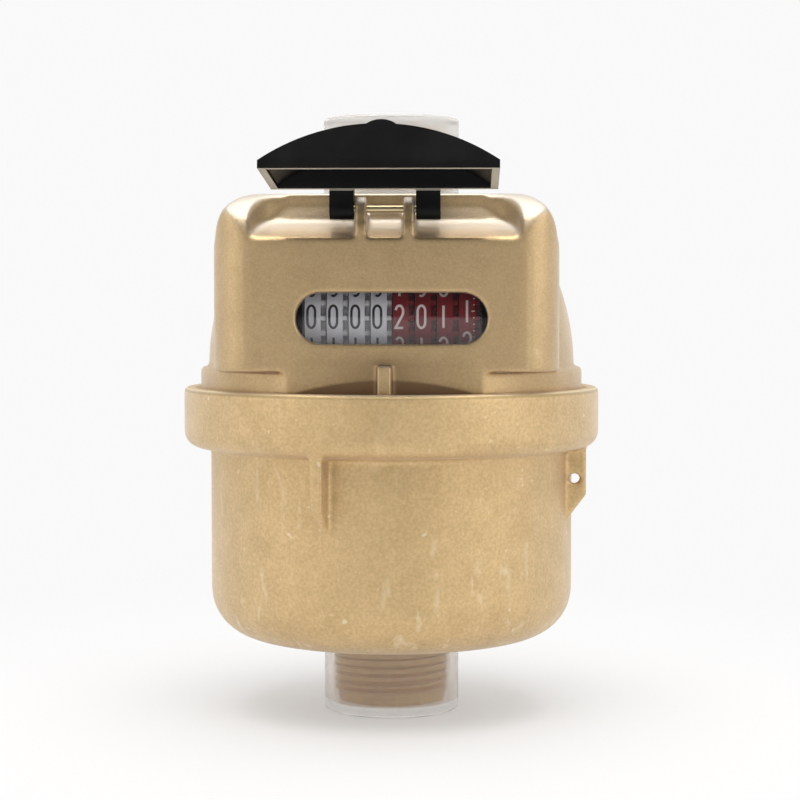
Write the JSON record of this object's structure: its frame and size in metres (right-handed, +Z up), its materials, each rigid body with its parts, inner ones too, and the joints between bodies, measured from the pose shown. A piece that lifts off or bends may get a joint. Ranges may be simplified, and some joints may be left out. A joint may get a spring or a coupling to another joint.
{
  "type": "water meter",
  "caption": "Brass rotary-piston water meter for a vertical pipe: round cup, domed head with number-drum window, hinged black lid and capped threaded stubs.",
  "frame": {"origin": "on the barrel's axis at the underside of the lower thread protector", "axes": "+Z up along the pipe from inlet to outlet, -Y out of the window, +X to the reader's right"},
  "size_m": [0.094, 0.1139, 0.134],
  "materials": {
    "cast_brass": "shot-blasted casting",
    "head_brass": "fine cast, satin",
    "lid_plastic": "satin moulded",
    "steel": "drawn",
    "window_clear": "clear",
    "protector_clear": "clear",
    "black_rubber": "matte",
    "white_plastic": "moulded",
    "grey_plastic": "moulded",
    "black_plastic": "moulded",
    "drum_white": "moulded, printed",
    "drum_red": "moulded, printed"
  },
  "bodies": {
    "meter": {"body": "cast_brass", "head": "head_brass", "hinge_pin": "steel", "window_glass": "window_clear", "window_gasket": "black_rubber", "inlet_cap": "protector_clear", "outlet_cap": "protector_clear", "head_seal": "black_rubber", "inlet_strainer": "white_plastic", "chamber_case": "grey_plastic", "chamber_cover": "grey_plastic", "division_plate": "steel", "register_floor": "grey_plastic", "register_frame": "grey_plastic", "register_gearbox": "black_plastic", "drum_shaft": "steel", "pinion_shaft": "steel"},
    "lid": {"lid": "lid_plastic"},
    "crank": {"drive_crank": "white_plastic"},
    "piston": {"rotary_piston": "black_plastic"},
    "number_drum_1": {"number_drum_1": "drum_white"},
    "number_drum_2": {"number_drum_2": "drum_white"},
    "number_drum_3": {"number_drum_3": "drum_white"},
    "number_drum_4": {"number_drum_4": "drum_white"},
    "number_drum_5": {"number_drum_5": "drum_red"},
    "number_drum_6": {"number_drum_6": "drum_red"},
    "number_drum_7": {"number_drum_7": "drum_red"},
    "number_drum_8": {"number_drum_8": "drum_red"},
    "transfer_pinion_1": {"transfer_pinion_1": "white_plastic"},
    "transfer_pinion_2": {"transfer_pinion_2": "white_plastic"},
    "transfer_pinion_3": {"transfer_pinion_3": "white_plastic"},
    "transfer_pinion_4": {"transfer_pinion_4": "white_plastic"},
    "transfer_pinion_5": {"transfer_pinion_5": "white_plastic"},
    "transfer_pinion_6": {"transfer_pinion_6": "white_plastic"},
    "transfer_pinion_7": {"transfer_pinion_7": "white_plastic"}
  },
  "joints": [
    {"name": "lid_hinge", "type": "hinge", "parent": "meter", "child": "lid", "pos_m": [0, -0.0347, 0.11225], "axis": [1, 0, 0], "range_deg": [-12, 95]},
    {"name": "crank_turn", "type": "hinge", "parent": "meter", "child": "crank", "pos_m": [0, -0.009, 0.06], "axis": [0, 0, 1], "continuous": true},
    {"name": "piston_orbit", "type": "hinge", "parent": "crank", "child": "piston", "pos_m": [0, -0.0132, 0.05], "axis": [0, 0, 1], "continuous": true},
    {"name": "number_drum_1_turn", "type": "hinge", "parent": "meter", "child": "number_drum_1", "pos_m": [0, -0.022, 0.0893], "axis": [1, 0, 0], "continuous": true},
    {"name": "number_drum_2_turn", "type": "hinge", "parent": "meter", "child": "number_drum_2", "pos_m": [0, -0.022, 0.0893], "axis": [1, 0, 0], "continuous": true},
    {"name": "number_drum_3_turn", "type": "hinge", "parent": "meter", "child": "number_drum_3", "pos_m": [0, -0.022, 0.0893], "axis": [1, 0, 0], "continuous": true},
    {"name": "number_drum_4_turn", "type": "hinge", "parent": "meter", "child": "number_drum_4", "pos_m": [0, -0.022, 0.0893], "axis": [1, 0, 0], "continuous": true},
    {"name": "number_drum_5_turn", "type": "hinge", "parent": "meter", "child": "number_drum_5", "pos_m": [0, -0.022, 0.0893], "axis": [1, 0, 0], "continuous": true},
    {"name": "number_drum_6_turn", "type": "hinge", "parent": "meter", "child": "number_drum_6", "pos_m": [0, -0.022, 0.0893], "axis": [1, 0, 0], "continuous": true},
    {"name": "number_drum_7_turn", "type": "hinge", "parent": "meter", "child": "number_drum_7", "pos_m": [0, -0.022, 0.0893], "axis": [1, 0, 0], "continuous": true},
    {"name": "number_drum_8_turn", "type": "hinge", "parent": "meter", "child": "number_drum_8", "pos_m": [0, -0.022, 0.0893], "axis": [1, 0, 0], "continuous": true},
    {"name": "transfer_pinion_1_turn", "type": "hinge", "parent": "meter", "child": "transfer_pinion_1", "pos_m": [0, -0.022, 0.0753], "axis": [1, 0, 0], "continuous": true},
    {"name": "transfer_pinion_2_turn", "type": "hinge", "parent": "meter", "child": "transfer_pinion_2", "pos_m": [0, -0.022, 0.0753], "axis": [1, 0, 0], "continuous": true},
    {"name": "transfer_pinion_3_turn", "type": "hinge", "parent": "meter", "child": "transfer_pinion_3", "pos_m": [0, -0.022, 0.0753], "axis": [1, 0, 0], "continuous": true},
    {"name": "transfer_pinion_4_turn", "type": "hinge", "parent": "meter", "child": "transfer_pinion_4", "pos_m": [0, -0.022, 0.0753], "axis": [1, 0, 0], "continuous": true},
    {"name": "transfer_pinion_5_turn", "type": "hinge", "parent": "meter", "child": "transfer_pinion_5", "pos_m": [0, -0.022, 0.0753], "axis": [1, 0, 0], "continuous": true},
    {"name": "transfer_pinion_6_turn", "type": "hinge", "parent": "meter", "child": "transfer_pinion_6", "pos_m": [0, -0.022, 0.0753], "axis": [1, 0, 0], "continuous": true},
    {"name": "transfer_pinion_7_turn", "type": "hinge", "parent": "meter", "child": "transfer_pinion_7", "pos_m": [0, -0.022, 0.0753], "axis": [1, 0, 0], "continuous": true}
  ],
  "couplings": [
    {"joint": "piston_orbit", "follows": "crank_turn", "ratio": -1},
    {"joint": "number_drum_8_turn", "follows": "crank_turn", "ratio": 0.04},
    {"joint": "transfer_pinion_1_turn", "follows": "number_drum_1_turn", "ratio": -2.5},
    {"joint": "transfer_pinion_2_turn", "follows": "number_drum_2_turn", "ratio": -2.5},
    {"joint": "transfer_pinion_3_turn", "follows": "number_drum_3_turn", "ratio": -2.5},
    {"joint": "transfer_pinion_4_turn", "follows": "number_drum_4_turn", "ratio": -2.5},
    {"joint": "transfer_pinion_5_turn", "follows": "number_drum_5_turn", "ratio": -2.5},
    {"joint": "transfer_pinion_6_turn", "follows": "number_drum_6_turn", "ratio": -2.5},
    {"joint": "transfer_pinion_7_turn", "follows": "number_drum_7_turn", "ratio": -2.5}
  ]
}
